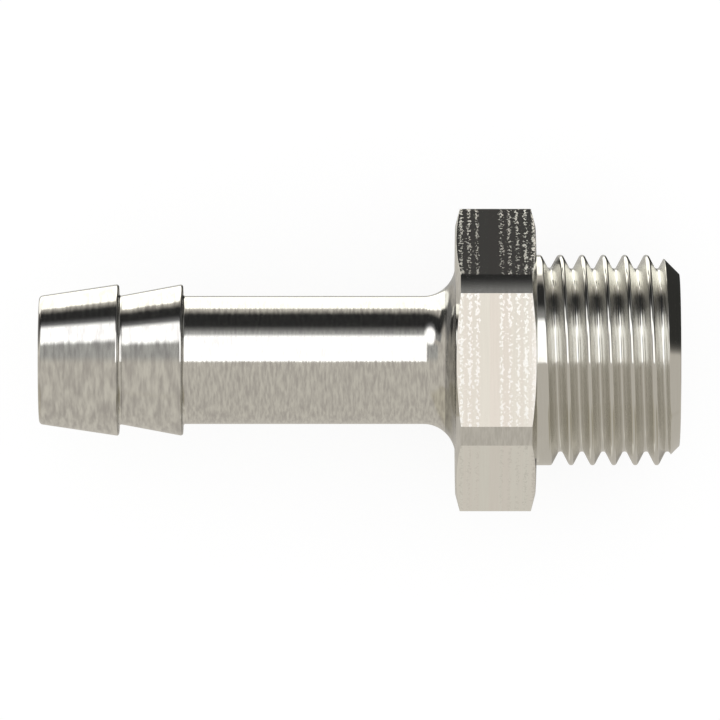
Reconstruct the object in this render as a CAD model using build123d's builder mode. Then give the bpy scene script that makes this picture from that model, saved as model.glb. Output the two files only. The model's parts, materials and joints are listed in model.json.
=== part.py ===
from build123d import *
import os
from math import cos, isclose, radians, sin, sqrt, tan

# Hose tail with a male parallel pipe thread, turned in one piece from hexagon bar.
# The axis is X. The origin is on it, in the hexagon's sealing face. The thread runs
# towards +X and the barbs towards -X. Two flats of the hexagon face up and down.

# Male thread, G 1/4: a right-hand parallel pipe thread of 55 degree form
thread_diameter = 13.157
thread_pitch = 1.337
thread_length = 9.0
thread_angle = 55.0
thread_end_chamfer = 1.2
# the share of a turn in which the cutting tool leaves the metal, next to the hexagon
run_out_turn = 1 / 6
# how far from the sealing face the tool leaves it
run_out_clearance = 0.074

# Hexagon for a 17 mm spanner
across_flats = 17.0
hex_length = 5.0
# how much the turned outside takes off each sharp corner
corner_trim = 0.365
# the two faces slope back outside a circle that lies this far inside the flats
face_inset = 0.1
face_slope = 15.0

# Barbed tail
bore_diameter = 6.8
stem_wall = 0.6
stem_length = 17.0
barb_height = 0.75
tip_barb_length = 5.0
barb_length = 4.0
barb_count = 2
tip_chamfer = 0.25
stem_root_radius = 2.0
bore_chamfer = 0.15

thread_radius = thread_diameter / 2
bore_radius = bore_diameter / 2
stem_radius = bore_radius + stem_wall
barb_radius = stem_radius + barb_height
tail_length = stem_length + tip_barb_length + (barb_count - 1) * barb_length
tip_x = -hex_length - tail_length
overall_length = thread_length - tip_x


# The thread's form: a third of the sharp V's height is left off, half at the crest and half at
# the root, and both stay flat
half_angle = radians(thread_angle / 2)
sharp_height = thread_pitch / (2 * tan(half_angle))
groove_depth = sharp_height * 2 / 3
groove_bottom = thread_radius - groove_depth
bottom_half_width = thread_pitch / 12
# the groove's section stands this far out of the metal, and stays narrower than a turn
section_rise = 0.075 * thread_pitch
top_half_width = bottom_half_width + (groove_depth + section_rise) * tan(half_angle)
# where the groove reaches its full depth, which it does on the +Y side
first_groove = run_out_clearance + top_half_width + run_out_turn * thread_pitch


def groove_path(from_turn, to_turn):
    """The groove's bottom line between two turns, counted from the +Y side, run towards the hexagon."""
    far_end = (first_groove + to_turn * thread_pitch, 0, 0)
    height = (to_turn - from_turn) * thread_pitch
    line = Helix(thread_pitch, height, groove_bottom, center=far_end, direction=(-1, 0, 0))
    # the helix starts on the -Z side, a quarter turn before +Y
    return line.rotate(Axis.X, 90 + 360 * to_turn)


def groove_section(turn, lift):
    """The groove's section at a turn, in the plane through the axis there, raised by lift."""
    angle = radians(360 * turn)
    outward = Vector(0, cos(angle), sin(angle))
    centre = Vector(first_groove + turn * thread_pitch, 0, 0)
    across = Plane(origin=centre, x_dir=outward, z_dir=outward.cross(Vector(1, 0, 0)))
    bottom = groove_bottom + lift
    top = thread_radius + section_rise + lift
    with BuildSketch(across) as section:
        with BuildLine():
            Polyline(
                (bottom, bottom_half_width),
                (top, top_half_width),
                (top, -top_half_width),
                (bottom, -bottom_half_width),
                close=True,
            )
        make_face()
    return section.sketch


last_turn = (thread_length - first_groove) / thread_pitch + 1
full_groove = groove_section(last_turn, 0)
full_path = groove_path(0, last_turn)
run_out_ends = [
    groove_section(0, 0),
    groove_section(-run_out_turn, groove_depth + section_rise / 4),
]
run_out_path = groove_path(-run_out_turn, 0)


with BuildPart() as hose_tail:
    # hexagon
    with BuildSketch(Plane.YZ.offset(-hex_length)):
        RegularPolygon(radius=across_flats / 2, side_count=6, major_radius=False)
    extrude(amount=hex_length)

    # its corners turned round and both faces sloped back
    corner_radius = across_flats / sqrt(3) - corner_trim
    face_radius = across_flats / 2 - face_inset
    slope_length = (corner_radius - face_radius) * tan(radians(face_slope))
    with BuildSketch(Plane.XY):
        with BuildLine():
            Polyline(
                (-hex_length, 0),
                (-hex_length, face_radius),
                (-hex_length + slope_length, corner_radius),
                (-slope_length, corner_radius),
                (0, face_radius),
                (0, 0),
                close=True,
            )
        make_face()
    revolve(axis=Axis.X, mode=Mode.INTERSECT)

    # stem and barbs
    with BuildSketch(Plane.XY) as tail:
        with BuildLine():
            outline = [(tip_x, 0), (tip_x, stem_radius)]
            for barb in range(barb_count):
                barb_end = tip_x + tip_barb_length + barb * barb_length
                outline += [(barb_end, barb_radius), (barb_end, stem_radius)]
            outline += [(-hex_length, stem_radius), (-hex_length, 0)]
            Polyline(outline, close=True)
        make_face()
        chamfer(tail.vertices().group_by(Axis.X)[0].sort_by(Axis.Y)[-1], length=tip_chamfer)
    revolve(axis=Axis.X)

    # stem blended into the hexagon
    stem_root = hose_tail.edges().filter_by(GeomType.CIRCLE).filter_by(
        lambda edge: isclose(edge.radius, stem_radius) and isclose(edge.arc_center.X, -hex_length)
    )
    fillet(stem_root, radius=stem_root_radius)

    # blank for the thread
    with BuildSketch(Plane.YZ):
        Circle(thread_radius)
    extrude(amount=thread_length)
    chamfer(hose_tail.faces().sort_by(Axis.X)[-1].edges(), length=thread_end_chamfer)

    # bore through the whole length, with its edges broken
    with Locations(Plane(origin=(thread_length, 0, 0), z_dir=(1, 0, 0))):
        Hole(bore_radius, depth=overall_length)
    bore_edges = hose_tail.edges().filter_by(GeomType.CIRCLE).filter_by(
        lambda edge: isclose(edge.radius, bore_radius)
    )
    chamfer(bore_edges, length=bore_chamfer)

    # thread, cut from past its end towards the hexagon, where the groove runs out
    sweep(sections=full_groove, path=full_path, is_frenet=True, mode=Mode.SUBTRACT)
    sweep(
        sections=run_out_ends,
        path=run_out_path,
        multisection=True,
        is_frenet=True,
        mode=Mode.SUBTRACT,
    )

hose_tail.part.label = "hose_tail"
os.makedirs("parts", exist_ok=True)
export_step(hose_tail.part, "parts/hose_tail.step")
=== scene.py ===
"""Dressed model of a one-piece hose tail in bright stainless steel.

The axis of the part is X. The origin lies on it, in the hexagon's sealing face: the thread runs
towards +X and the barbs towards -X. Lengths are in metres. Angles round the axis start at +Y and
turn towards +Z, the way the thread turns.
"""
import json
import logging
from collections.abc import Sequence
from dataclasses import dataclass, field
from enum import Enum
from math import acos, ceil, cos, pi, radians, sin, tan

import bpy
import numpy as np
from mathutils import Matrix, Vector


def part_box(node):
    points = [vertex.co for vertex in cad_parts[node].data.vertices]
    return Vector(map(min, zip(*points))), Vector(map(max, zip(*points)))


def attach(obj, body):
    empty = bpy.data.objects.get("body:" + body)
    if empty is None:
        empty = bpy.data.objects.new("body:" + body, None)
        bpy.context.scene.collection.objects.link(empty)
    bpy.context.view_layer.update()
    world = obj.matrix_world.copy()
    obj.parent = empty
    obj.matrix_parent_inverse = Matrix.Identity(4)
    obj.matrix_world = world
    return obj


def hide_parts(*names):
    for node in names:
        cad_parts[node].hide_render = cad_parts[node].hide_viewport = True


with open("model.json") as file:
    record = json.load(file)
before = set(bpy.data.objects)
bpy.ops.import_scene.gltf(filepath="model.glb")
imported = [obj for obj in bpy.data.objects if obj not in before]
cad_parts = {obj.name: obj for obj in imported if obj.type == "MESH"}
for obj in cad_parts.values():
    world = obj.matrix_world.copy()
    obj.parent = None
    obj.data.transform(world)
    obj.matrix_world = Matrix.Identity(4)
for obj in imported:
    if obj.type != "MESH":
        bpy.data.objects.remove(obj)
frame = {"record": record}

MM = 0.001
FULL_TURN = 2 * pi
HEX_SIDES = 6
SIDE_ANGLE = FULL_TURN / HEX_SIDES
# a round corner's longest step, the widest turn of a step, and the fewest steps
ARC_STEP = 0.17 * MM
ARC_TURN = radians(15)
FEWEST_STEPS = 3
# the longest step on a straight stretch of the outside
PLAIN_STEP = 0.7 * MM
# what rounding may add to a count of steps
ROUNDING = 1e-6
# the middle of what a noise node puts out
NOISE_MIDDLE = 0.5
# depth of a tool mark or fleck of height 1
MARK_DEPTH = 0.01 * MM
# how far along the axis the photo's middle lies from the part's
VIEW_SHIFT = 0.05 * MM
NODE = "hose_tail"
BODY = "root"
PIECE = "hose_tail_skin"

log = logging.getLogger("hose_tail")

Colour = tuple[float, float, float]
Span = tuple[float, float]
Socket = bpy.types.NodeSocket
Input = float | Sequence[float] | Socket
Inputs = dict[str | int, Input]
Sockets = bpy.types.bpy_prop_collection


class Surface(Enum):
    """How a stretch of the surface was made, and where shade is painted on it. The value is its material
    slot on the piece.
    """

    TURNED = 0
    BARBED = 1
    DRAWN = 2
    THREADED = 3
    FACED = 4
    DRILLED = 5
    SKIMMED = 6
    # painted shade: darker steel in the stem's round root and at the edges where the barbs end, standing in
    # for the shade there
    PAINTED_SHADE = 7


class PanelShape(Enum):
    """Outline of a studio panel. The value is what the panel group's Round input takes."""

    RECTANGLE = 0.0
    ELLIPSE = 1.0


@dataclass(frozen=True)
class Corner:
    """A corner of the outline that runs along the axis, rounded by an arc.

    Its place is a number where it is the same all round, or one number for each station.
    """

    x: float | np.ndarray
    r: float | np.ndarray
    radius: float = 0.05 * MM


@dataclass(frozen=True)
class Strip:
    """Rings of the skin, one row a ring, from the ring after the strip before it.

    On the hexagon the turned corners have another surface than the flats between them. Where
    the normals are known from the form itself they are given too.
    """

    x: np.ndarray
    r: np.ndarray
    surface: Surface
    corner_surface: Surface | None = None
    normals: np.ndarray | None = None


@dataclass(frozen=True)
class Stations:
    """The angles round the axis at which every ring has its points."""

    flat_radius: float
    corner_radius: float
    flat_steps: int = 24
    corner_steps: int = 6

    def side_pattern(self) -> tuple[np.ndarray, np.ndarray]:
        """The stations from one corner to the next.

        Returns:
            The angles from the middle of the corner, and whether the step after each is turned round.
        """
        edge = SIDE_ANGLE / 2 - acos(self.flat_radius / self.corner_radius)
        corner = np.linspace(-edge, edge, self.corner_steps + 1)[:-1]
        flat = np.linspace(edge, SIDE_ANGLE - edge, self.flat_steps + 1)[:-1]
        angles = np.concatenate([corner, flat])
        return angles, np.arange(len(angles)) < self.corner_steps

    def angles(self) -> np.ndarray:
        """All the stations, once round the axis."""
        angles, _ = self.side_pattern()
        return np.concatenate([angles + side * SIDE_ANGLE for side in range(HEX_SIDES)])

    def turned_steps(self) -> np.ndarray:
        """Whether the step from each station to the next lies on a turned corner."""
        _, turned = self.side_pattern()
        return np.tile(turned, HEX_SIDES)


def rounded(
    corners: Sequence[Corner], stations: int, longest: float = PLAIN_STEP
) -> tuple[np.ndarray, np.ndarray]:
    """Follows an outline along the axis, with its inner corners rounded.

    Args:
        corners: The outline's corners. The first and last stay as they are.
        stations: How many stations a ring has.
        longest: The longest step on a straight stretch.

    Returns:
        The rings' places along the axis and their radii, without the first corner's.
    """
    places = [
        np.stack([np.broadcast_to(corner.x, stations), np.broadcast_to(corner.r, stations)], axis=-1)
        for corner in corners
    ]
    rings = []
    start = places[0]
    for before, here, after, corner in zip(places, places[1:], places[2:], corners[1:]):
        arrive = here - before
        leave = after - here
        arrive = arrive / np.linalg.norm(arrive, axis=1, keepdims=True)
        leave = leave / np.linalg.norm(leave, axis=1, keepdims=True)
        turn = np.arccos(np.clip((arrive * leave).sum(1), -1, 1))
        reach = (corner.radius * np.tan(turn / 2))[:, None]
        middle_weight = np.cos(turn / 2)[:, None]
        first = here - reach * arrive
        last = here + reach * leave
        rings += straight(start, first, longest)
        steps = max(FEWEST_STEPS, ceil(turn.max() / min(ARC_TURN, ARC_STEP / corner.radius)))
        for share in np.linspace(0, 1, steps + 1)[1:]:
            near = (1 - share) ** 2
            middle = 2 * share * (1 - share) * middle_weight
            far = share * share
            rings.append((near * first + middle * here + far * last) / (near + middle + far))
        start = last
    rings += straight(start, places[-1], longest)
    outline = np.stack(rings)
    return outline[..., 0], outline[..., 1]


def straight(start: np.ndarray, end: np.ndarray, longest: float) -> list[np.ndarray]:
    """Divides a straight stretch of the outline. One of no length has no rings.

    Args:
        start: The ring that the stretch starts from, which isn't repeated.
        end: The ring that it ends with.
        longest: The longest step.

    Returns:
        The rings after the start.
    """
    length = np.linalg.norm(end - start, axis=1).max()
    steps = ceil(length / longest - ROUNDING)
    return [start + (end - start) * step / steps for step in range(1, steps + 1)]


def by_finish(x: np.ndarray, r: np.ndarray, surface: Surface, masked: np.ndarray) -> list[Strip]:
    """Divides rings into strips where they go over from a finish to the painted shade and back.

    Args:
        x: The rings' places along the axis.
        r: Their radii.
        surface: The finish where they aren't dull.
        masked: Which rings get the painted shade.

    Returns:
        The strips, in order.
    """
    cuts = np.flatnonzero(np.diff(masked)) + 1
    strips = []
    for part_x, part_r, part_shaded in zip(np.split(x, cuts), np.split(r, cuts), np.split(masked, cuts)):
        strips.append(Strip(part_x, part_r, Surface.PAINTED_SHADE if part_shaded[0] else surface))
    return strips


def soft_min(a: np.ndarray, b: np.ndarray, width: float) -> np.ndarray:
    """The smaller of two radii, blended where they cross, so that the edge between them is broken."""
    return (a + b - np.sqrt((a - b) ** 2 + width**2)) / 2


@dataclass(frozen=True)
class BarbedTail:
    """The tail for the hose: two barbs, a plain stem and its round root on the hexagon.

    The painted shade, a dark ring at the edge where a barb ends, runs over edge_shade_span, counted from the
    barb's end. The painted shade in the stem's round root runs root_shade_length back from the hexagon.
    """

    tip_x: float
    root_x: float
    barb_radius: float
    barb_height: float = 0.75 * MM
    tip_barb_length: float = 5.0 * MM
    barb_length: float = 4.0 * MM
    barb_count: int = 2
    tip_round: float = 0.25 * MM
    crest_round: float = 0.15 * MM
    foot_round: float = 0.15 * MM
    root_round: float = 2.0 * MM
    root_margin: float = 0.15 * MM
    # painted shade: the reach of the darker steel back from the hexagon, and its span round each barb's end
    root_shade_length: float = 0.62 * MM
    edge_shade_span: Span = (-0.1 * MM, 0.03 * MM)

    def stem_radius(self) -> float:
        """Radius of the plain stem and of the small end of each barb."""
        return self.barb_radius - self.barb_height

    def root_radius(self) -> float:
        """Radius at which the tail ends on the hexagon, a little outside its round root."""
        return self.stem_radius() + self.root_round + self.root_margin

    def strips(self, stations: int, face_start: float) -> list[Strip]:
        """Builds the skin from the tip's end face to the round root's end on the hexagon.

        Args:
            stations: How many stations a ring has.
            face_start: Radius at which the tip's end face starts.

        Returns:
            The end face and the turned outside.
        """
        stem = self.stem_radius()
        face = [Corner(self.tip_x, face_start), Corner(self.tip_x, stem - self.tip_round)]
        corners = [face[-1], Corner(self.tip_x, stem, self.tip_round)]
        first_end = self.tip_x + self.tip_barb_length
        ends = [first_end + barb * self.barb_length for barb in range(self.barb_count)]
        for end in ends:
            corners.append(Corner(end, self.barb_radius, self.crest_round))
            corners.append(Corner(end, stem, self.foot_round))
        stem_start = Corner(ends[-1] + 2 * self.foot_round, stem)
        barbs = rounded([*corners, stem_start], stations)
        # rings round each barb's end get painted shade
        from_end = barbs[0][:, :1] - np.array(ends)
        in_edge_shade = ((from_end > self.edge_shade_span[0]) & (from_end < self.edge_shade_span[1])).any(axis=1)
        root = [
            stem_start,
            Corner(self.root_x, stem, self.root_round),
            Corner(self.root_x, self.root_radius()),
        ]
        plain = rounded(root, stations)
        # rings in the round root next to the hexagon get painted shade
        in_root_shade = plain[0][:, 0] > self.root_x - self.root_shade_length
        return [
            Strip(*rounded(face, stations), Surface.FACED),
            *by_finish(*barbs, Surface.BARBED, in_edge_shade),
            *by_finish(*plain, Surface.TURNED, in_root_shade),
        ]


@dataclass(frozen=True)
class Hexagon:
    """The hexagon for a spanner, with turned corners and both faces sloped back."""

    left_x: float
    right_x: float
    flat_radius: float
    corner_radius: float
    face_inset: float = 0.1 * MM
    face_slope: float = radians(15)
    slope_round: float = 0.012 * MM

    def face_radius(self) -> float:
        """Outer radius of the level part of both faces."""
        return self.flat_radius - self.face_inset - self.slope_round

    def outline_radius(self, angles: np.ndarray) -> np.ndarray:
        """Distance of the flats and the turned corners from the axis, at each station."""
        from_flat = np.mod(angles, SIDE_ANGLE) - SIDE_ANGLE / 2
        return np.minimum(self.flat_radius / np.cos(from_flat), self.corner_radius)

    def strips(self, angles: np.ndarray) -> list[Strip]:
        """Builds the skin from the face on the tail's side to the rim of the sealing face.

        Args:
            angles: The stations.

        Returns:
            The left face with its slope, the flats and corners, and the right slope.
        """
        outline = self.outline_radius(angles)
        rim = self.flat_radius - self.face_inset
        slope = (outline - rim) * tan(self.face_slope)
        flat_start = self.left_x + slope
        flat_end = self.right_x - slope
        left = [
            Corner(self.left_x, self.face_radius()),
            Corner(self.left_x, rim, self.slope_round),
            Corner(flat_start, outline, self.slope_round),
            Corner(flat_start + self.slope_round, outline),
        ]
        right = [
            Corner(flat_end - self.slope_round, outline),
            Corner(flat_end, outline, self.slope_round),
            Corner(self.right_x, rim, self.slope_round),
            Corner(self.right_x, self.face_radius()),
        ]
        flats = [left[-1], right[0]]
        count = len(angles)
        return [
            Strip(*rounded(left, count), Surface.SKIMMED),
            Strip(*rounded(flats, count), Surface.DRAWN, Surface.SKIMMED),
            Strip(*rounded(right, count), Surface.SKIMMED),
        ]


@dataclass(frozen=True)
class MaleThread:
    """A right-hand parallel pipe thread of 55 degree form, with round crests and roots.

    The depth and the radius of the crests and roots are shares of the pitch. The finer rings
    of the end chamfer start fine_lead before it.
    """

    start_x: float
    end_x: float
    major_radius: float
    pitch: float = 1.337 * MM
    first_groove: float = 0.906 * MM
    run_out_turn: float = 1 / 6
    end_chamfer: float = 1.2 * MM
    flank_angle: float = radians(27.5)
    depth_share: float = 0.640327
    round_share: float = 0.137329
    burr_break: float = 0.03 * MM
    run_out_blend: float = 0.03 * MM
    blend_share: float = 0.25
    foot_round: float = 0.08 * MM
    rings_per_pitch: int = 38
    rings_per_pitch_on_chamfer: int = 46
    fine_lead: float = 0.2 * MM

    def groove_depth(self) -> float:
        """Depth of the groove from crest to root."""
        return self.depth_share * self.pitch

    def end_radius(self) -> float:
        """Outer radius of the end face."""
        return self.major_radius - self.end_chamfer

    def depth_at(self, offset: np.ndarray) -> np.ndarray:
        """The thread form: depth below the crest.

        Args:
            offset: Distance along the axis from the middle of the groove.

        Returns:
            The depth, which is nothing from half a pitch on.
        """
        arc = self.round_share * self.pitch
        from_root = np.abs(offset)
        from_crest = np.clip(self.pitch / 2 - from_root, 0, None)
        tangent = arc * cos(self.flank_angle)
        crest = arc - np.sqrt(np.clip(arc**2 - from_crest**2, 0, None))
        root = self.groove_depth() - arc + np.sqrt(np.clip(arc**2 - from_root**2, 0, None))
        flank = arc * (1 - sin(self.flank_angle)) + (from_crest - tangent) / tan(self.flank_angle)
        return np.where(from_crest < tangent, crest, np.where(from_root < tangent, root, flank))

    def radius_at(self, x: np.ndarray, angles: np.ndarray) -> np.ndarray:
        """Distance of the thread's surface from the axis.

        Args:
            x: Places along the axis, one for each ring.
            angles: The stations.

        Returns:
            One row for each ring and one column for each station.
        """
        depth = np.zeros((len(x), len(angles)))
        turns = np.mod(angles / FULL_TURN, 1)
        for lap in range(-1, ceil((self.end_x - self.start_x) / self.pitch) + 1):
            turn = turns + lap
            middle = self.start_x + self.first_groove + self.pitch * turn
            lift = np.clip(-turn / self.run_out_turn, 0, 1) * self.groove_depth()
            blend = np.minimum(lift * self.blend_share, self.run_out_blend)
            cut = self.depth_at(x[:, None] - middle[None, :]) - lift
            cut = (cut + np.sqrt(cut**2 + blend**2)) / 2
            depth = np.maximum(depth, np.where(turn < -self.run_out_turn, 0, cut))
        cone = self.end_radius() + (self.end_x - x)
        return soft_min(self.major_radius - depth, cone[:, None], self.burr_break)

    def normals_at(self, x: np.ndarray, angles: np.ndarray) -> np.ndarray:
        """The thread's normals, from how its radius changes along the axis and round it.

        Args:
            x: Places along the axis, one for each ring.
            angles: The stations.

        Returns:
            One normal for each ring and station.
        """
        onward = 0.0001 * MM
        around = 0.00001
        radius = self.radius_at(x, angles)
        along = (self.radius_at(x + onward, angles) - self.radius_at(x - onward, angles)) / (2 * onward)
        turning = (self.radius_at(x, angles + around) - self.radius_at(x, angles - around)) / (2 * around)
        lean = turning / radius
        y = np.cos(angles) + lean * np.sin(angles)
        z = np.sin(angles) - lean * np.cos(angles)
        normals = np.stack([-along, y, z], axis=-1)
        return normals / np.linalg.norm(normals, axis=-1, keepdims=True)

    def strips(self, angles: np.ndarray, rim: float) -> list[Strip]:
        """Builds the skin from the sealing face to just before the end face.

        Args:
            angles: The stations.
            rim: Radius at which the sealing face starts.

        Returns:
            The sealing face and the thread.
        """
        start = self.start_x + self.foot_round
        foot = [
            Corner(self.start_x, rim),
            Corner(self.start_x, self.major_radius, self.foot_round),
            Corner(start, self.major_radius),
        ]
        fine_start = self.end_x - self.end_chamfer - self.fine_lead
        end = self.end_x - self.foot_round
        coarse = ceil((fine_start - start) / self.pitch * self.rings_per_pitch)
        fine = ceil((end - fine_start) / self.pitch * self.rings_per_pitch_on_chamfer)
        coarse_x = np.linspace(start, fine_start, coarse + 1)[1:]
        fine_x = np.linspace(fine_start, end, fine + 1)[1:]
        x = np.concatenate([coarse_x, fine_x])
        grid_x = np.broadcast_to(x[:, None], (len(x), len(angles)))
        radius = self.radius_at(x, angles)
        return [
            Strip(*rounded(foot, len(angles)), Surface.FACED),
            Strip(grid_x, radius, Surface.THREADED, normals=self.normals_at(x, angles)),
        ]


@dataclass(frozen=True)
class Bore:
    """The straight bore, with its edges broken, and the thread's end face round it."""

    tip_x: float
    end_x: float
    radius: float
    chamfer: float = 0.15 * MM
    edge_round: float = 0.04 * MM
    longest: float = 1.5 * MM

    def face_radius(self) -> float:
        """Inner radius of the level part of both end faces."""
        return self.radius + self.chamfer + self.edge_round

    def strips(self, stations: int, thread: MaleThread) -> list[Strip]:
        """Builds the skin from the thread's chamfer through the bore to the tip's end face.

        Args:
            stations: How many stations a ring has.
            thread: The thread that the end face closes.

        Returns:
            The thread's end face and the bore.
        """
        outer = thread.end_radius()
        mouth = self.radius + self.chamfer
        face = [
            Corner(self.end_x - thread.foot_round, outer + thread.foot_round),
            Corner(self.end_x, outer, self.edge_round),
            Corner(self.end_x, self.face_radius()),
        ]
        bore = [
            face[-1],
            Corner(self.end_x, mouth, self.edge_round),
            Corner(self.end_x - self.chamfer, self.radius, self.edge_round),
            Corner(self.tip_x + self.chamfer, self.radius, self.edge_round),
            Corner(self.tip_x, mouth, self.edge_round),
            Corner(self.tip_x, self.face_radius()),
        ]
        return [
            Strip(*rounded(face, stations, self.longest), Surface.FACED),
            Strip(*rounded(bore, stations, self.longest), Surface.DRILLED),
        ]


class Sheet:
    """A shader sheet, in a material, a group or the world, on which nodes are placed and joined."""

    def __init__(self, tree: bpy.types.NodeTree) -> None:
        """Takes the tree to draw on."""
        self.tree = tree

    @classmethod
    def blank(cls, owner: bpy.types.Material | bpy.types.World) -> "Sheet":
        """Gives a new material or the world an empty sheet.

        Args:
            owner: The material or the world.

        Returns:
            The sheet.
        """
        owner.use_nodes = True
        owner.node_tree.nodes.clear()
        return cls(owner.node_tree)

    def place(self, kind: str, inputs: Inputs | None = None, **settings: object) -> bpy.types.Node:
        """Places a node.

        Args:
            kind: The node's type.
            inputs: What goes into its sockets, by name or number: a value, or a socket to join.
            settings: The node's own settings.

        Returns:
            The node.
        """
        node = self.tree.nodes.new(kind)
        for name, value in settings.items():
            setattr(node, name, value)
        for name, value in (inputs or {}).items():
            if isinstance(value, Socket):
                self.tree.links.new(value, node.inputs[name])
            else:
                node.inputs[name].default_value = value
        return node

    def math(self, operation: str, *values: Input) -> Socket:
        """Works out a number from one, two or three others."""
        return self.place("ShaderNodeMath", dict(enumerate(values)), operation=operation).outputs[0]

    def vector(self, operation: str, *values: Input, output: str = "Vector") -> Socket:
        """Works out a vector, or a number, from vectors."""
        node = self.place("ShaderNodeVectorMath", dict(enumerate(values)), operation=operation)
        return node.outputs[output]

    def combine(self, x: Input, y: Input, z: Input) -> Socket:
        """Puts a vector together."""
        return self.place("ShaderNodeCombineXYZ", {0: x, 1: y, 2: z}).outputs[0]

    def ramp(self, value: Input, low: Input, high: Input, start: float = 0.0, end: float = 1.0) -> Socket:
        """Maps a number smoothly, from start at low to end at high."""
        inputs = {"Value": value, "From Min": low, "From Max": high, "To Min": start, "To Max": end}
        return self.place("ShaderNodeMapRange", inputs, interpolation_type="SMOOTHSTEP").outputs[0]

    def mix(self, share: Input, first: Input, second: Input, blend: str = "MIX") -> Socket:
        """Mixes two colours."""
        inputs = {0: share, 6: first, 7: second}
        return self.place("ShaderNodeMix", inputs, data_type="RGBA", blend_type=blend).outputs[2]

    def noise(self, at: Input, scale: float = 1.0, detail: float = 1.0, rough: float = 0.5) -> Socket:
        """Draws noise, read at a place."""
        inputs = {"Vector": at, "Scale": scale, "Detail": detail, "Roughness": rough}
        return self.place("ShaderNodeTexNoise", inputs).outputs[0]

    def coordinates(self) -> list[Socket]:
        """The surface's X, Y and Z on the object."""
        place = self.place("ShaderNodeTexCoord").outputs["Object"]
        return list(self.place("ShaderNodeSeparateXYZ", {0: place}).outputs)

    def from_axis(self, y: Socket, z: Socket) -> Socket:
        """Distance from the axis."""
        return self.vector("LENGTH", self.combine(0.0, y, z), output="Value")

    def stretched(self, x: Socket, y: Socket, z: Socket, width: Socket, length: Socket) -> Socket:
        """A place counted in widths along X and in lengths along Y and Z."""
        ratios = ((x, width), (y, length), (z, length))
        return self.combine(*(self.math("DIVIDE", *ratio) for ratio in ratios))


FLOAT = "NodeSocketFloat"
VECTOR = "NodeSocketVector"
COLOUR = "NodeSocketColor"


class EffectGroup(Sheet):
    """A shader effect that several materials share, built once on a sheet of its own."""

    name = ""
    inputs: dict[str, tuple[str, float | tuple]] = {}
    outputs: dict[str, str] = {}

    def __init__(self) -> None:
        """Builds the group with its named inputs and outputs."""
        super().__init__(bpy.data.node_groups.new(self.name, "ShaderNodeTree"))
        for label, (kind, value) in self.inputs.items():
            socket = self.tree.interface.new_socket(label, in_out="INPUT", socket_type=kind)
            socket.default_value = value
        for label, kind in self.outputs.items():
            self.tree.interface.new_socket(label, in_out="OUTPUT", socket_type=kind)
        self.taken = self.place("NodeGroupInput").outputs
        self.place("NodeGroupOutput", self.draw())

    def draw(self) -> dict[str, Socket]:
        """Draws the effect from what the group takes.

        Returns:
            The socket for each output, by name.
        """
        raise NotImplementedError

    def use(self, sheet: Sheet, **values: Input) -> Sockets:
        """Places the group in a material.

        Args:
            sheet: The material's sheet.
            values: What its inputs take, with _ for a blank in a name.

        Returns:
            The group's outputs, by name.
        """
        inputs = {name.replace("_", " "): value for name, value in values.items()}
        return sheet.place("ShaderNodeGroup", inputs, node_tree=self.tree).outputs


class ToolMarks(EffectGroup):
    """Fine short streaks round the axis, as a cutting tool or a belt leaves them."""

    name = "tool marks"
    inputs = {"Width": (FLOAT, 0.08 * MM), "Length": (FLOAT, 1.0 * MM), "Faced": (FLOAT, 0.0)}
    outputs = {"Height": FLOAT, "Broad": FLOAT}
    # how wide and how long each kind of streak is, as shares of Width and Length
    streaks = {"Height": (0.5, 1.4), "Broad": (1.0, 1.0)}
    detail = 2.0
    rough = 0.55

    def draw(self) -> dict[str, Socket]:
        """Draws the streaks: narrow along the axis, or along the radius on a faced end.

        Returns:
            Height, the fine streaks, and Broad, wider and longer ones.
        """
        x, y, z = self.coordinates()
        inward = self.math("SUBTRACT", 1.0, self.taken["Faced"])
        along = self.math("MULTIPLY", x, inward)
        across = self.math("MULTIPLY_ADD", self.from_axis(y, z), self.taken["Faced"], along)
        levels = {}
        for label, (width_share, length_share) in self.streaks.items():
            width = self.math("MULTIPLY", self.taken["Width"], width_share)
            length = self.math("MULTIPLY", self.taken["Length"], length_share)
            at = self.stretched(across, y, z, width, length)
            levels[label] = self.noise(at, detail=self.detail, rough=self.rough)
        return levels


class LeaningNormal(EffectGroup):
    """The surface's normal, leaning a little round the axis."""

    name = "leaning normal"
    inputs = {"Around": (FLOAT, 0.0)}
    outputs = {"Normal": VECTOR}

    def draw(self) -> dict[str, Socket]:
        """Draws the normal.

        Returns:
            Normal, the leaning normal.
        """
        normal = self.place("ShaderNodeNewGeometry").outputs["Normal"]
        around = self.vector("CROSS_PRODUCT", normal, (1, 0, 0))
        inputs = {0: around, "Scale": self.taken["Around"]}
        lean = self.place("ShaderNodeVectorMath", inputs, operation="SCALE").outputs[0]
        return {"Normal": self.vector("NORMALIZE", self.vector("ADD", normal, lean))}


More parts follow.
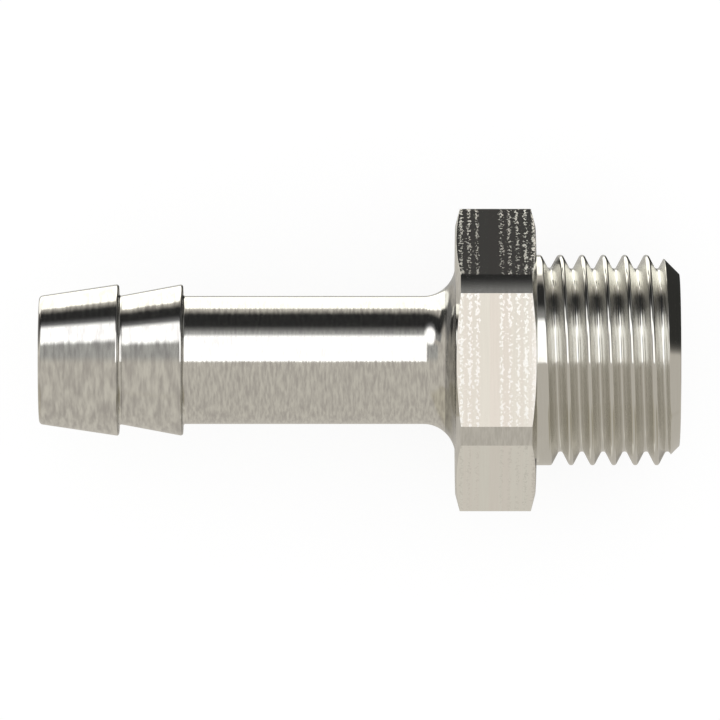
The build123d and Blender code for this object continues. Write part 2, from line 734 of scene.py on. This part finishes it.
class Flecks(EffectGroup):
    """Small raised flecks in rows across a drawn flat, with one band left clean."""

    name = "flecks in rows"
    inputs = {
        "Row Pitch": (FLOAT, 0.5 * MM),
        "Fleck Width": (FLOAT, 0.15 * MM),
        "Fleck Length": (FLOAT, 0.19 * MM),
        "Clean Middle": (FLOAT, -2.92 * MM),
        "Clean Width": (FLOAT, 1.1 * MM),
    }
    outputs = {"Flecks": FLOAT, "Band": FLOAT}
    # what the rows and the broad patches add to the grain
    row_weight = -0.1
    patch_weight = 0.2
    patch_scale = 0.17
    # levels of the grain at which a fleck starts and is full
    fleck_levels = (0.52, 0.72)
    # where the clean band ends, from its middle, as shares of its width
    clean_ends = (0.48, 0.56)
    # how many rows a tinted band is wide
    band_rows = 1.3

    def draw(self) -> dict[str, Socket]:
        """Draws the flecks.

        Returns:
            Flecks, 1 in the middle of a fleck and 0 between them, and Band, broad bands along the axis.
        """
        x, y, z = self.coordinates()
        at = self.stretched(x, y, z, self.taken["Fleck Width"], self.taken["Fleck Length"])
        patches = self.math("SUBTRACT", self.noise(at, self.patch_scale), NOISE_MIDDLE)
        from_middle = self.math("SUBTRACT", x, self.taken["Clean Middle"])
        row = self.math("DIVIDE", from_middle, self.taken["Row Pitch"])
        wave = self.math("COSINE", self.math("MULTIPLY", row, FULL_TURN))
        level = self.math("MULTIPLY_ADD", wave, self.row_weight, self.noise(at))
        level = self.math("MULTIPLY_ADD", patches, self.patch_weight, level)
        share = self.math("DIVIDE", self.math("ABSOLUTE", from_middle), self.taken["Clean Width"])
        outside = self.ramp(share, *self.clean_ends)
        flecks = self.math("MULTIPLY", self.ramp(level, *self.fleck_levels), outside)
        inputs = {"W": self.math("DIVIDE", row, self.band_rows), "Scale": 1.0, "Detail": 1.0}
        band = self.place("ShaderNodeTexNoise", inputs, noise_dimensions="1D").outputs[0]
        return {"Flecks": flecks, "Band": band}


class ThreadFlanks(EffectGroup):
    """Where the surface lies on the thread's flanks, below its crests and its end chamfer."""

    name = "thread flanks"
    inputs = {
        "Crest Radius": (FLOAT, 0.0),
        "Cone Reach": (FLOAT, 0.0),
        "Flank Start": (FLOAT, 0.02 * MM),
        "Flank Full": (FLOAT, 0.16 * MM),
        "Root Start": (FLOAT, 0.72 * MM),
        "Root Full": (FLOAT, 0.80 * MM),
    }
    outputs = {"Flank": FLOAT}

    def draw(self) -> dict[str, Socket]:
        """Draws the mask. The chamfer's radius is its reach less the distance along the axis.

        Returns:
            Flank, 1 on the flanks and 0 on the crests, in the roots and on the chamfer.
        """
        x, y, z = self.coordinates()
        cone = self.math("SUBTRACT", self.taken["Cone Reach"], x)
        outside = self.math("MINIMUM", self.taken["Crest Radius"], cone)
        depth = self.math("SUBTRACT", outside, self.from_axis(y, z))
        below_crest = self.ramp(depth, self.taken["Flank Start"], self.taken["Flank Full"])
        above_root = self.ramp(depth, self.taken["Root Start"], self.taken["Root Full"], 1.0, 0.0)
        return {"Flank": self.math("MULTIPLY", below_crest, above_root)}


class SteelTone(EffectGroup):
    """Colour of bare steel: dark and light streaks, and broad bands with a faint tint."""

    name = "steel tone"
    inputs = {
        "Dark": (COLOUR, (0.60, 0.58, 0.57, 1)),
        "Light": (COLOUR, (0.84, 0.83, 0.79, 1)),
        "Tint": (COLOUR, (1, 1, 1, 1)),
        "Streak": (FLOAT, 0.5),
        "Band": (FLOAT, 0.5),
    }
    outputs = {"Color": COLOUR}
    # levels between which the streaks turn light and the bands take their tint
    streak_levels = (0.25, 0.75)
    band_levels = (0.4, 0.6)

    def draw(self) -> dict[str, Socket]:
        """Draws the colour.

        Returns:
            Color, the steel's colour.
        """
        streak = self.ramp(self.taken["Streak"], *self.streak_levels)
        steel = self.mix(streak, self.taken["Dark"], self.taken["Light"])
        band = self.ramp(self.taken["Band"], *self.band_levels)
        tint = self.mix(band, (1, 1, 1, 1), self.taken["Tint"])
        return {"Color": self.mix(1.0, steel, tint, "MULTIPLY")}


class PanelMask(EffectGroup):
    """Where a studio panel shows, seen from the object."""

    name = "studio panel"
    inputs = {
        "Direction": (VECTOR, (0, 0, 1)),
        "Forward": (VECTOR, (0, 0, 1)),
        "Sideways": (VECTOR, (1, 0, 0)),
        "Upward": (VECTOR, (0, 1, 0)),
        "Left": (FLOAT, -1.0),
        "Right": (FLOAT, 1.0),
        "Bottom": (FLOAT, -1.0),
        "Top": (FLOAT, 1.0),
        "Soft Left": (FLOAT, 0.1),
        "Soft Right": (FLOAT, 0.1),
        "Soft Bottom": (FLOAT, 0.1),
        "Soft Top": (FLOAT, 0.1),
        "Soft Rim": (FLOAT, 0.1),
        "Round": (FLOAT, 0.0),
    }
    outputs = {"Mask": FLOAT}
    # the least distance ahead, which keeps the panel's plane off the object
    least_ahead = 1e-3

    def draw(self) -> dict[str, Socket]:
        """Draws the panel on a plane one metre away, in the direction Forward.

        Returns:
            Mask, 1 on the panel and 0 off it.
        """
        ahead = self.vector("DOT_PRODUCT", self.taken["Direction"], self.taken["Forward"], output="Value")
        depth = self.math("MAXIMUM", ahead, self.least_ahead)
        masks = []
        parts = []
        for axis, low, high in (("Sideways", "Left", "Right"), ("Upward", "Bottom", "Top")):
            offset = self.vector("DOT_PRODUCT", self.taken["Direction"], self.taken[axis], output="Value")
            place = self.math("DIVIDE", offset, depth)
            soft_low = self.math("SUBTRACT", self.taken[low], self.taken[f"Soft {low}"])
            soft_high = self.math("ADD", self.taken[high], self.taken[f"Soft {high}"])
            masks.append(self.ramp(place, soft_low, self.taken[low]))
            masks.append(self.ramp(place, self.taken[high], soft_high, 1.0, 0.0))
            middle = self.math("MULTIPLY", self.math("ADD", self.taken[low], self.taken[high]), 0.5)
            half = self.math("SUBTRACT", self.taken[high], middle)
            parts.append(self.math("DIVIDE", self.math("SUBTRACT", place, middle), half))
        inside = masks[0]
        for mask in masks[1:]:
            inside = self.math("MULTIPLY", inside, mask)
        reach = self.vector("LENGTH", self.combine(*parts, 0.0), output="Value")
        disc = self.ramp(reach, 1.0, self.math("ADD", 1.0, self.taken["Soft Rim"]), 1.0, 0.0)
        shape = self.place("ShaderNodeMix", {0: self.taken["Round"], 2: inside, 3: disc}).outputs[0]
        facing = self.math("GREATER_THAN", ahead, 0.0)
        return {"Mask": self.math("MULTIPLY", shape, facing)}


@dataclass(frozen=True)
class SteelFinish:
    """One surface finish of the steel."""

    name: str
    surface: Surface
    dark: Colour = (0.61, 0.595, 0.58)
    light: Colour = (0.87, 0.865, 0.82)
    tint: Colour = (1, 1, 1)
    roughness: float = 0.10
    mark_width: float = 0.15 * MM
    mark_length: float = 0.8 * MM
    mark_height: float = 0.1
    mark_lean: float = 0.04
    faced: float = 0.0
    fleck_lean: float = 0.0
    dull_roughness: float | None = None


FINISHES = (
    SteelFinish("turned_steel", Surface.TURNED),
    SteelFinish(
        "barb_steel",
        Surface.BARBED,
        dark=(0.59, 0.575, 0.56),
        light=(0.90, 0.895, 0.85),
        mark_width=0.27 * MM,
        mark_length=1.3 * MM,
    ),
    SteelFinish(
        "drawn_steel",
        Surface.DRAWN,
        dark=(0.73, 0.72, 0.69),
        light=(0.75, 0.74, 0.71),
        tint=(1.0, 0.975, 0.98),
        roughness=0.045,
        mark_width=0.12 * MM,
        mark_length=3.0 * MM,
        mark_height=0.02,
        mark_lean=0.005,
        fleck_lean=0.033,
        dull_roughness=0.27,
    ),
    SteelFinish(
        "threaded_steel",
        Surface.THREADED,
        dark=(0.735, 0.725, 0.685),
        light=(0.75, 0.74, 0.705),
        roughness=0.08,
        mark_width=0.12 * MM,
        mark_length=1.6 * MM,
        mark_height=0.0,
        mark_lean=0.0,
        dull_roughness=0.27,
    ),
    SteelFinish("faced_steel", Surface.FACED, roughness=0.14, mark_length=4.0 * MM, faced=1.0),
    SteelFinish("drilled_steel", Surface.DRILLED, roughness=0.22, mark_length=4.0 * MM),
    SteelFinish(
        "skimmed_steel",
        Surface.SKIMMED,
        dark=(0.68, 0.67, 0.64),
        light=(0.81, 0.80, 0.77),
        roughness=0.09,
        mark_height=0.02,
        mark_lean=0.02,
    ),
    # painted shade: darker steel for the round root and the barbs' ends, where shade falls
    SteelFinish(
        "dulled_steel",
        Surface.PAINTED_SHADE,
        dark=(0.36, 0.355, 0.345),
        light=(0.53, 0.525, 0.50),
        roughness=0.14,
    ),
)


class SteelWorks:
    """Makes the materials of the part from its finishes."""

    def __init__(self, thread: MaleThread) -> None:
        """Builds the effects that the finishes share.

        Args:
            thread: The thread whose flanks are dull.
        """
        self.thread = thread
        self.marks = ToolMarks()
        self.flecks = Flecks()
        self.flanks = ThreadFlanks()
        self.tone = SteelTone()
        self.leaning = LeaningNormal()

    def material(self, finish: SteelFinish) -> bpy.types.Material:
        """Makes one finish's material.

        Args:
            finish: The finish.

        Returns:
            The material.
        """
        material = bpy.data.materials.new(finish.name)
        sheet = Sheet.blank(material)
        marks = self.marks.use(
            sheet, Width=finish.mark_width, Length=finish.mark_length, Faced=finish.faced
        )
        flecks = self.flecks.use(sheet)
        tone = self.tone.use(
            sheet,
            Dark=(*finish.dark, 1),
            Light=(*finish.light, 1),
            Tint=(*finish.tint, 1),
            Streak=marks["Broad"],
            Band=flecks["Band"],
        )
        streak = sheet.math("SUBTRACT", marks["Broad"], NOISE_MIDDLE)
        around = sheet.math("MULTIPLY", streak, finish.mark_lean)
        around = sheet.math("MULTIPLY_ADD", flecks["Flecks"], finish.fleck_lean, around)
        normal = self.leaning.use(sheet, Around=around)["Normal"]
        height = sheet.math("MULTIPLY", marks["Height"], finish.mark_height)
        inputs = {"Distance": MARK_DEPTH, "Height": height, "Normal": normal}
        bump = sheet.place("ShaderNodeBump", inputs)
        roughness: Input = finish.roughness
        if finish.dull_roughness is not None:
            masked = self.dull_mask(sheet, finish, flecks)
            roughness = sheet.ramp(masked, 0.0, 1.0, finish.roughness, finish.dull_roughness)
        shader = sheet.place(
            "ShaderNodeBsdfPrincipled",
            {
                "Base Color": tone["Color"],
                "Metallic": 1.0,
                "Roughness": roughness,
                "Normal": bump.outputs[0],
            },
        )
        sheet.place("ShaderNodeOutputMaterial", {"Surface": shader.outputs[0]})
        return material

    def dull_mask(self, sheet: Sheet, finish: SteelFinish, flecks: Sockets) -> Socket:
        """Where a finish is dull: on the thread's flanks, or on a drawn flat's flecks.

        Args:
            sheet: The material's sheet.
            finish: The finish.
            flecks: What the flecks group puts out.

        Returns:
            The mask.
        """
        if finish.surface is not Surface.THREADED:
            return flecks["Flecks"]
        reach = self.thread.end_radius() + self.thread.end_x
        return self.flanks.use(sheet, Crest_Radius=self.thread.major_radius, Cone_Reach=reach)["Flank"]


@dataclass
class HoseTail:
    """The whole part: one closed skin over tail, hexagon, thread and bore."""

    tail: BarbedTail
    hexagon: Hexagon
    thread: MaleThread
    bore: Bore
    stations: Stations = field(init=False)

    def __post_init__(self) -> None:
        """Sets the stations from the hexagon, which has the only edges along the axis."""
        self.stations = Stations(self.hexagon.flat_radius, self.hexagon.corner_radius)

    @classmethod
    def from_frame(cls, record: dict) -> "HoseTail":
        """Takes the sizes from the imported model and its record.

        Args:
            record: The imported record, whose mounts give the radii of bore, thread and barbs.

        Returns:
            The part with all its sizes.
        """
        low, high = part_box(NODE)
        mounts = {mount["name"]: mount for mount in record["mounts"]}
        spigot, thread, bore = (
            mounts[name]["dims"] for name in ("hose_spigot", "male_thread", "flow_bore")
        )
        hexagon_left = low.x + spigot["length_mm"] * MM
        hexagon_right = mounts["seal_face"]["pos_m"][0]
        return cls(
            tail=BarbedTail(low.x, hexagon_left, spigot["r_mm"] * MM),
            hexagon=Hexagon(hexagon_left, hexagon_right, high.z, high.y),
            thread=MaleThread(hexagon_right, high.x, thread["r_mm"] * MM),
            bore=Bore(low.x, high.x, bore["r_mm"] * MM),
        )

    def strips(self) -> list[Strip]:
        """All the skin in order: tail, hexagon, thread, then back through the bore."""
        angles = self.stations.angles()
        count = len(angles)
        rim = self.hexagon.face_radius()
        left_face = [
            Corner(self.hexagon.left_x, self.tail.root_radius()),
            Corner(self.hexagon.left_x, rim),
        ]
        return [
            *self.tail.strips(count, self.bore.face_radius()),
            Strip(*rounded(left_face, count), Surface.FACED),
            *self.hexagon.strips(angles),
            *self.thread.strips(angles, rim),
            *self.bore.strips(count, self.thread),
        ]

    def build(self) -> bpy.types.Object:
        """Builds the skin as one closed mesh.

        Returns:
            The piece, in its place, without materials.
        """
        angles = self.stations.angles()
        strips = self.strips()
        x = np.concatenate([strip.x for strip in strips])
        r = np.concatenate([strip.r for strip in strips])
        points = np.stack([x, r * np.cos(angles), r * np.sin(angles)], axis=-1)
        index = np.arange(x.size).reshape(x.shape)
        before = np.roll(index, 1, axis=0)
        quads = [before, np.roll(before, -1, axis=1), np.roll(index, -1, axis=1), index]
        quads = np.stack(quads, axis=-1)
        turned = self.stations.turned_steps()
        slots = np.concatenate([self.slots_of(strip, turned) for strip in strips])
        normals = self.corner_normals(points, strips, slots)
        mesh = bpy.data.meshes.new(PIECE)
        mesh.from_pydata(points.reshape(-1, 3).tolist(), [], quads.reshape(-1, 4).tolist())
        mesh.polygons.foreach_set("material_index", slots.ravel().astype(np.int32))
        mesh.polygons.foreach_set("use_smooth", np.ones(len(mesh.polygons), dtype=bool))
        mesh.normals_split_custom_set(normals.reshape(-1, 3).tolist())
        mesh.update()
        piece = bpy.data.objects.new(PIECE, mesh)
        bpy.context.scene.collection.objects.link(piece)
        return piece

    @staticmethod
    def corner_normals(points: np.ndarray, strips: Sequence[Strip], slots: np.ndarray) -> np.ndarray:
        """Works out the normals: crisp flats, everything turned smooth.

        Args:
            points: The skin's points, by ring and station.
            strips: The strips that the rings belong to.
            slots: The material slot of each face, by ring and station.

        Returns:
            Four normals for each face, by ring and station.
        """
        before = np.roll(points, 1, axis=0)
        across = np.roll(points, -1, axis=1) - before
        back = points - np.roll(before, -1, axis=1)
        faces = np.cross(across, back)
        flat = (slots == Surface.DRAWN.value)[..., None]
        smooth = np.where(flat, 0, faces)
        rings = smooth + np.roll(smooth, -1, axis=0)
        normals = rings + np.roll(rings, 1, axis=1)
        length = np.linalg.norm(normals, axis=-1, keepdims=True)
        normals /= np.where(length > 0, length, 1)
        row = 0
        for strip in strips:
            if strip.normals is not None:
                normals[row : row + len(strip.x)] = strip.normals
            row += len(strip.x)
        earlier = np.roll(normals, 1, axis=0)
        corners = [earlier, np.roll(earlier, -1, axis=1), np.roll(normals, -1, axis=1), normals]
        level = faces / np.linalg.norm(faces, axis=-1, keepdims=True)
        return np.stack([np.where(flat, level, corner) for corner in corners], axis=2)

    @staticmethod
    def slots_of(strip: Strip, turned: np.ndarray) -> np.ndarray:
        """The material slot of each face that ends on a strip's rings.

        Args:
            strip: The strip.
            turned: Whether each step round the axis lies on a turned corner.

        Returns:
            One row for each ring.
        """
        corner = strip.corner_surface or strip.surface
        row = np.where(turned, corner.value, strip.surface.value)
        return np.tile(row, (len(strip.x), 1))

    def dress(self, piece: bpy.types.Object) -> None:
        """Gives the piece its materials, in the order of the surfaces.

        Args:
            piece: The skin.
        """
        works = SteelWorks(self.thread)
        for finish in sorted(FINISHES, key=lambda made: made.surface.value):
            piece.data.materials.append(works.material(finish))


@dataclass(frozen=True)
class StudioPanel:
    """A panel of the studio that the metal mirrors.

    Turns are angles in degrees about the part's axis, 0 straight up and 90 level towards +Y.
    Tilts are angles from the plane across the axis, positive towards the threaded end. The
    panel's plane faces the middle of its turns at no tilt, or else the turn and tilt given.
    """

    name: str
    turns: Span
    tilts: Span
    colour: Colour
    soft_turns: Span = (1.0, 1.0)
    soft_tilts: Span = (4.0, 4.0)
    shape: PanelShape = PanelShape.RECTANGLE
    facing: Span | None = None

    def sizes(self) -> dict[str, Input]:
        """Works out what the panel group takes.

        Returns:
            The group's inputs, with _ for a blank in a name.
        """
        facing = self.facing or (sum(self.turns) / 2, 0.0)
        turn, tilt = (radians(angle) for angle in facing)
        low, high = (radians(angle) - turn for angle in self.turns)
        left, right = (tan(radians(angle) - tilt) for angle in self.tilts)
        soft_low, soft_high = (radians(soft) for soft in self.soft_turns)
        soft_left, soft_right = (tan(radians(soft)) for soft in self.soft_tilts)
        half_width = (self.tilts[1] - self.tilts[0]) / 2
        return {
            "Forward": (sin(tilt), sin(turn) * cos(tilt), cos(turn) * cos(tilt)),
            "Sideways": (cos(tilt), -sin(turn) * sin(tilt), -cos(turn) * sin(tilt)),
            "Upward": (0, cos(turn), -sin(turn)),
            "Left": left,
            "Right": right,
            "Bottom": tan(low),
            "Top": tan(high),
            "Soft_Left": soft_left,
            "Soft_Right": soft_right,
            "Soft_Bottom": tan(low) - tan(low - soft_low),
            "Soft_Top": tan(high + soft_high) - tan(high),
            "Soft_Rim": self.soft_tilts[0] / half_width,
            "Round": self.shape.value,
        }


@dataclass(frozen=True)
class Card:
    """A small level card that one flat of the hexagon mirrors, with its limits and height in mm."""

    name: str
    x: Span
    y: Span
    height: float
    colour: Colour


WHITE: Colour = (1.6, 1.6, 1.6)
WARM: Colour = (1.66, 1.64, 1.5)
BLACK: Colour = (0.029, 0.029, 0.029)
FELT: Colour = (0.56, 0.53, 0.48)
# the turn and tilt of panels that face the part from beyond its tip
TIPWARD: Span = (90, -90)

PANELS = (
    StudioPanel("side left", (-150, -75), (-66, -34), (0.50, 0.465, 0.39), (25, 20), (14, 12)),
    StudioPanel("side right", (-122, -70), (28, 58), (0.39, 0.36, 0.285), (8, 15), (10, 6)),
    StudioPanel("dim wall", (106, 136), (-81, -58), (0.265, 0.26, 0.25), (16, 8), (5, 6), facing=TIPWARD),
    StudioPanel("table leg", (122, 142), (-81, -76.5), (0.07, 0.07, 0.065), (5, 12), (3, 3), facing=TIPWARD),
    StudioPanel(
        "dark corner", (76, 121), (-53, -45), (0.045, 0.045, 0.043), (10, 5), (18, 10), facing=TIPWARD
    ),
    StudioPanel("grey board", (10, 28), (-50, -15), (0.39, 0.387, 0.375), (18, 8), (15, 5)),
    StudioPanel("table hole", (153.5, 177), (-14, 14), (0.50, 0.49, 0.465), (2, 2), (8, 8)),
    StudioPanel("table right", (178, 188), (14, 26), (0.16, 0.15, 0.14), (3, 3), (6, 3)),
    StudioPanel("dark far end", (60, 155), (28, 76), (0.035, 0.035, 0.033), (20, 3), (3, 86)),
    StudioPanel("dark far low", (155, 178), (8, 40), (0.035, 0.035, 0.033), (3, 3), (5, 5)),
    StudioPanel("grey edge", (44, 66), (-60, 60), (0.275, 0.275, 0.27), (3, 3)),
    StudioPanel("black flag", (66, 88), (-52, 60), BLACK, (16, 16), (22, 20)),
    StudioPanel("grey gap", (60, 100), (34, 60), (0.24, 0.24, 0.235), (6, 8), (8, 8)),
    StudioPanel(
        "lamp glow", (37, 68), (-37, -9), (0.16, 0.16, 0.165), (1, 1), (8.5, 8.5), PanelShape.ELLIPSE
    ),
    StudioPanel("lower softbox", (105.5, 158), (-42, 15), WARM, (1, 1), (5, 5), PanelShape.ELLIPSE),
    StudioPanel("overhead softbox", (-2.2, 40.8), (-11, 45), WHITE, (0.8, 8), (2, 2)),
    StudioPanel(
        "round lamp", (34.2, 57.8), (-35.3, -10.7), WHITE, (1, 1), (10.5, 10.5), PanelShape.ELLIPSE
    ),
)

CARDS = (
    Card("black_card", (-5.6, 0.35), (22.5, 44.0), -8.4, (0.065, 0.064, 0.062)),
    Card("light_card", (-5.6, 0.35), (-200.0, -12.0), -8.4, (0.75, 0.72, 0.65)),
    Card("bright_card", (-4.8, 1.4), (-6.0, 6.0), 100.0, (1.04, 0.99, 0.91)),
)


def level_piece(name: str, x: Span, y: Span, z: float) -> bpy.types.Object:
    """Lays a level rectangle.

    Args:
        name: The piece's name.
        x: Its limits along X.
        y: Its limits along Y.
        z: Its height.

    Returns:
        The piece, without a material.
    """
    corners = [(x[0], y[0], z), (x[1], y[0], z), (x[1], y[1], z), (x[0], y[1], z)]
    mesh = bpy.data.meshes.new(name)
    mesh.from_pydata(corners, [], [(0, 1, 2, 3)])
    piece = bpy.data.objects.new(name, mesh)
    bpy.context.scene.collection.objects.link(piece)
    return piece


@dataclass
class Studio:
    """Floor, mirrored studio, sky and camera."""

    floor_z: float
    middle_x: float
    frame_width: float = 45.0 * MM
    camera_distance: float = 760.0 * MM
    camera_range: Span = (0.01, 10.0)
    sensor: float = 36.0
    floor_size: float = 6.0
    floor_grey: float = 0.16
    floor_level: float = 0.86
    dome_radius: float = 4.0
    dome_segments: int = 96
    dome_rings: int = 48

    def build(self) -> None:
        """Builds everything round the part."""
        self.build_floor()
        self.build_dome()
        for card in CARDS:
            self.build_card(card)
        self.build_sky()
        self.build_camera()

    def build_floor(self) -> None:
        """Lays the pale floor. It adds white to what is seen of it and keeps the part's shadow."""
        limits = (-self.floor_size / 2, self.floor_size / 2)
        floor = level_piece("floor", limits, limits, self.floor_z)
        material = bpy.data.materials.new("pale_floor")
        sheet = Sheet.blank(material)
        rays = sheet.place("ShaderNodeLightPath").outputs
        seen = sheet.math("MAXIMUM", rays["Is Camera Ray"], rays["Is Glossy Ray"])
        seen = sheet.math("MAXIMUM", seen, rays["Is Transmission Ray"])
        matt = sheet.place("ShaderNodeBsdfDiffuse", {"Color": (self.floor_grey,) * 3 + (1,)})
        level = sheet.math("MULTIPLY", seen, self.floor_level)
        glow = sheet.place("ShaderNodeEmission", {"Color": (1, 1, 1, 1), "Strength": level})
        both = sheet.place("ShaderNodeAddShader", {0: matt.outputs[0], 1: glow.outputs[0]})
        sheet.place("ShaderNodeOutputMaterial", {"Surface": both.outputs[0]})
        floor.data.materials.append(material)
        floor.visible_glossy = False

    def build_dome(self) -> None:
        """Hangs the dome with the studio's panels, which shows only in the metal."""
        bpy.ops.mesh.primitive_uv_sphere_add(
            segments=self.dome_segments, ring_count=self.dome_rings, radius=self.dome_radius
        )
        dome = bpy.context.object
        dome.name = "studio_dome"
        material = bpy.data.materials.new("studio_panels")
        sheet = Sheet.blank(material)
        place = sheet.place("ShaderNodeTexCoord").outputs["Object"]
        direction = sheet.vector("NORMALIZE", place)
        mask = PanelMask()
        colour: Input = (*FELT, 1)
        for panel in PANELS:
            found = mask.use(sheet, Direction=direction, **panel.sizes())["Mask"]
            colour = sheet.mix(found, colour, (*panel.colour, 1))
        self.show_in_metal(dome, material, sheet, colour)

    def build_card(self, card: Card) -> None:
        """Puts up a card, which shows only in the metal.

        Args:
            card: The card.
        """
        x, y = (tuple(limit * MM for limit in limits) for limits in (card.x, card.y))
        piece = level_piece(card.name, x, y, card.height * MM)
        material = bpy.data.materials.new(card.name)
        self.show_in_metal(piece, material, Sheet.blank(material), (*card.colour, 1))

    @staticmethod
    def show_in_metal(
        piece: bpy.types.Object, material: bpy.types.Material, sheet: Sheet, colour: Input
    ) -> None:
        """Gives a stage piece its glow, and leaves it visible to mirrored rays only.

        Args:
            piece: The piece.
            material: Its material.
            sheet: The material's sheet.
            colour: The colour that it glows in.
        """
        glow = sheet.place("ShaderNodeEmission", {"Color": colour, "Strength": 1.0})
        sheet.place("ShaderNodeOutputMaterial", {"Surface": glow.outputs[0]})
        material.cycles.emission_sampling = "NONE"
        piece.data.materials.append(material)
        piece.visible_camera = False
        piece.visible_diffuse = False
        piece.visible_shadow = False
        piece.visible_transmission = False

    def build_sky(self) -> None:
        """Sets a plain white sky all round, which lights the floor."""
        world = bpy.data.worlds.new("white_sky")
        sheet = Sheet.blank(world)
        sky = sheet.place("ShaderNodeBackground", {"Color": (1, 1, 1, 1), "Strength": 1.0})
        sheet.place("ShaderNodeOutputWorld", {"Surface": sky.outputs[0]})
        bpy.context.scene.world = world
        bpy.context.scene.view_settings.view_transform = "Standard"

    def build_camera(self) -> None:
        """Puts the camera straight above the part, far away, with +X to the right."""
        data = bpy.data.cameras.new("camera")
        data.sensor_width = self.sensor
        data.lens = self.sensor * self.camera_distance / self.frame_width
        data.clip_start, data.clip_end = self.camera_range
        camera = bpy.data.objects.new("camera", data)
        camera.location = (self.middle_x, 0, self.camera_distance)
        bpy.context.scene.collection.objects.link(camera)
        bpy.context.scene.camera = camera


def main(record: dict) -> None:
    """Builds the part and its studio.

    Args:
        record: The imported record.
    """
    logging.basicConfig(level=logging.INFO, format="%(name)s: %(message)s")
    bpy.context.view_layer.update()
    part = HoseTail.from_frame(record)
    piece = part.build()
    part.dress(piece)
    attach(piece, BODY)
    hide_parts(NODE)
    log.info("%s has %d faces in %d finishes", piece.name, len(piece.data.polygons), len(FINISHES))
    low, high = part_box(NODE)
    Studio(floor_z=low.z, middle_x=(low.x + high.x) / 2 + VIEW_SHIFT).build()
    log.info("studio has %d panels and %d cards", len(PANELS), len(CARDS))


if __name__ == "__main__":
    main(frame["record"])
